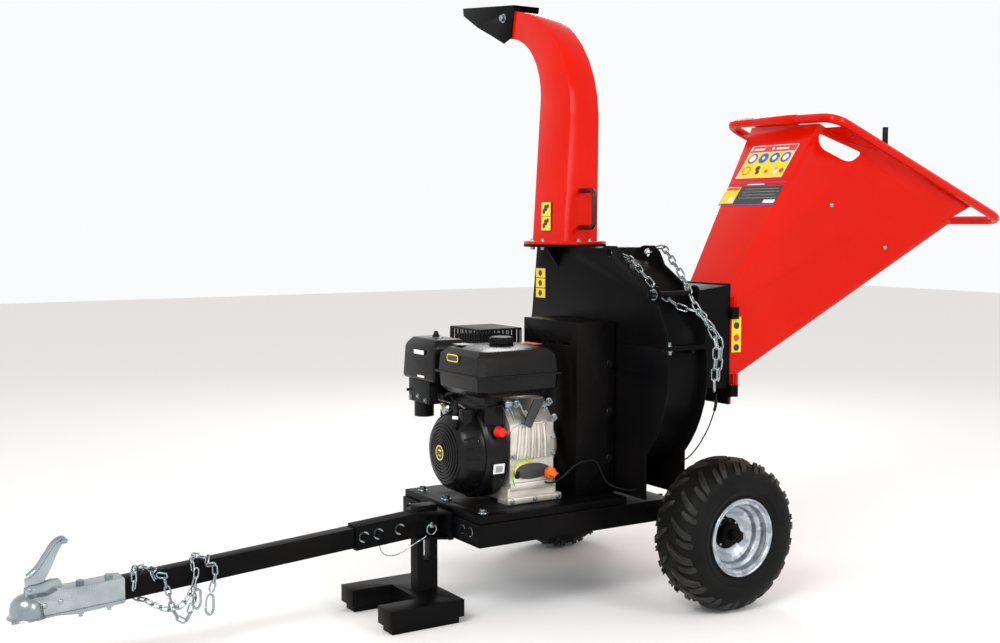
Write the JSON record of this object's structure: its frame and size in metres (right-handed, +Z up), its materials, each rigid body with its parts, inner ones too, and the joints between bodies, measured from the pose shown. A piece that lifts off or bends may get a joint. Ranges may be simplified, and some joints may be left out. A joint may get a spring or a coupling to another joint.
{
  "type": "wood chipper",
  "caption": "Towable petrol wood chipper: red side-feed hopper on lift-off hinges, turning gooseneck discharge chute, black disc housing, engine, belt drive, road wheels, drawbar.",
  "frame": {"origin": "middle of the bounding box on the ground", "axes": "+X from the ball coupler at the front of the drawbar towards the feed hopper at the back, +Y towards the side that the discharge chute is on, away from the side the hopper hinges on, +Z up"},
  "size_m": [3.0549, 1.171, 1.731],
  "materials": {
    "black_paint": "satin",
    "red_paint": "gloss",
    "zinc_plate": "satin",
    "galvanised": "matte",
    "steel": "satin",
    "cast": "rough cast",
    "tyre": "matte",
    "rubber": "matte",
    "plastic": "matte",
    "shroud": "gloss",
    "orange_plastic": "satin",
    "red_plastic": "gloss",
    "heat_black": "matte"
  },
  "bodies": {
    "chassis": {"axle_beam": "black_paint", "chassis_frame": "black_paint", "engine_tray": "black_paint", "drawbar": "black_paint", "stand_receiver": "black_paint", "coupler_body": "zinc_plate", "crankcase": "cast", "fan_shroud": "shroud", "recoil_cover": "shroud", "fuel_tank": "shroud", "air_cleaner": "shroud", "intake": "plastic", "muffler": "heat_black", "muffler_guard": "heat_black", "belt_guard": "black_paint", "drive_belt": "rubber", "housing_lower": "black_paint", "housing_upper": "black_paint", "tie_bar": "black_paint", "anvil": "steel", "front_bearing": "cast", "rear_bearing": "cast", "infeed_throat": "black_paint", "lift_chain_front": "zinc_plate", "lift_chain_rear": "zinc_plate", "chain_cable": "rubber", "engine_cable": "rubber", "safety_chain_near": "zinc_plate", "safety_chain_far": "zinc_plate", "pin_lanyard": "zinc_plate"},
    "wheel_near": {"tyre_near": "tyre", "rim_near": "galvanised", "hub_near": "plastic"},
    "wheel_far": {"tyre_far": "tyre", "rim_far": "galvanised", "hub_far": "plastic"},
    "rotor": {"rotor_shaft": "steel", "rotor_disc": "steel", "chipper_knife_1": "steel", "chipper_knife_2": "steel", "driven_pulley": "steel"},
    "crank": {"crankshaft": "steel", "drive_pulley": "steel"},
    "chute": {"chute": "red_paint", "chute_handle": "plastic"},
    "deflector": {"chute_deflector": "black_paint"},
    "hopper": {"hopper": "red_paint", "hopper_rim": "red_paint"},
    "curtain": {"feed_curtain": "rubber"},
    "stand": {"stand_leg": "black_paint"},
    "stand_pin": {"stand_pin": "zinc_plate"},
    "coupler_lever": {"coupler_lever": "zinc_plate"},
    "throttle_lever": {"throttle_lever": "zinc_plate"},
    "choke_lever": {"choke_lever": "plastic"},
    "stop_switch": {"stop_switch": "red_plastic"},
    "oil_filler_cap": {"oil_filler_cap": "orange_plastic"},
    "fuel_cap": {"fuel_cap": "plastic"},
    "air_cleaner_knob": {"air_cleaner_knob": "plastic"},
    "recoil_handle": {"recoil_handle": "plastic"}
  },
  "joints": [
    {"name": "wheel_near_spin", "type": "hinge", "parent": "chassis", "child": "wheel_near", "pos_m": [0.2355, -0.508, 0.205], "axis": [0, 1, 0], "continuous": true},
    {"name": "wheel_far_spin", "type": "hinge", "parent": "chassis", "child": "wheel_far", "pos_m": [0.2355, 0.281, 0.205], "axis": [0, 1, 0], "continuous": true},
    {"name": "rotor_spin", "type": "hinge", "parent": "chassis", "child": "rotor", "pos_m": [0.2355, -0.1335, 0.62], "axis": [1, 0, 0], "continuous": true},
    {"name": "crank_spin", "type": "hinge", "parent": "chassis", "child": "crank", "pos_m": [0.2355, -0.1135, 0.423], "axis": [1, 0, 0], "continuous": true},
    {"name": "chute_turn", "type": "hinge", "parent": "chassis", "child": "chute", "pos_m": [0.1055, 0.0645, 0.9731], "axis": [0, 0, 1], "continuous": true},
    {"name": "deflector_tilt", "type": "hinge", "parent": "chute", "child": "deflector", "pos_m": [0.1055, 0.3355, 1.666], "axis": [1, 0, 0], "range_deg": [-60, 0]},
    {"name": "hopper_swing", "type": "hinge", "parent": "chassis", "child": "hopper", "pos_m": [0.4355, -0.3225, 0.7], "axis": [0, 0, 1], "range_deg": [-95, 0]},
    {"name": "curtain_swing", "type": "hinge", "parent": "hopper", "child": "curtain", "pos_m": [0.8105, -0.1835, 1.087], "axis": [0, 1, 0], "range_deg": [-40, 40]},
    {"name": "stand_slide", "type": "slide", "parent": "chassis", "child": "stand", "axis": [0, 0, 1], "range_m": [0, 0.09]},
    {"name": "stand_pin_pull", "type": "slide", "parent": "chassis", "child": "stand_pin", "axis": [0, -1, 0], "range_m": [0, 0.06]},
    {"name": "coupler_lever_close", "type": "hinge", "parent": "chassis", "child": "coupler_lever", "pos_m": [-1.4765, -0.1135, 0.208], "axis": [0, 1, 0], "range_deg": [0, 32]},
    {"name": "throttle", "type": "hinge", "parent": "chassis", "child": "throttle_lever", "pos_m": [-0.3385, -0.1235, 0.5755], "axis": [0, 0, 1], "range_deg": [-20, 20]},
    {"name": "choke", "type": "hinge", "parent": "chassis", "child": "choke_lever", "pos_m": [-0.3595, 0.129, 0.564], "axis": [0, 1, 0], "range_deg": [-40, 40]},
    {"name": "stop_switch_turn", "type": "hinge", "parent": "chassis", "child": "stop_switch", "pos_m": [-0.3095, -0.2323, 0.487], "axis": [0, 1, 0], "range_deg": [-90, 0]},
    {"name": "oil_cap_turn", "type": "hinge", "parent": "chassis", "child": "oil_filler_cap", "pos_m": [-0.1495, -0.2318, 0.362], "axis": [0, 1, 0], "range_deg": [0, 360]},
    {"name": "fuel_cap_turn", "type": "hinge", "parent": "chassis", "child": "fuel_cap", "pos_m": [-0.2645, -0.1735, 0.7129], "axis": [0, 0, 1], "range_deg": [0, 90]},
    {"name": "air_cleaner_knob_turn", "type": "hinge", "parent": "chassis", "child": "air_cleaner_knob", "pos_m": [-0.3395, 0.0515, 0.7163], "axis": [0, 0, 1], "range_deg": [0, 360]},
    {"name": "starter_pull", "type": "slide", "parent": "chassis", "child": "recoil_handle", "axis": [-1, 0, 0], "range_m": [0, 0.5], "stiffness_N_per_m": 20}
  ],
  "couplings": [
    {"joint": "crank_spin", "follows": "rotor_spin", "ratio": 1.3636}
  ]
}
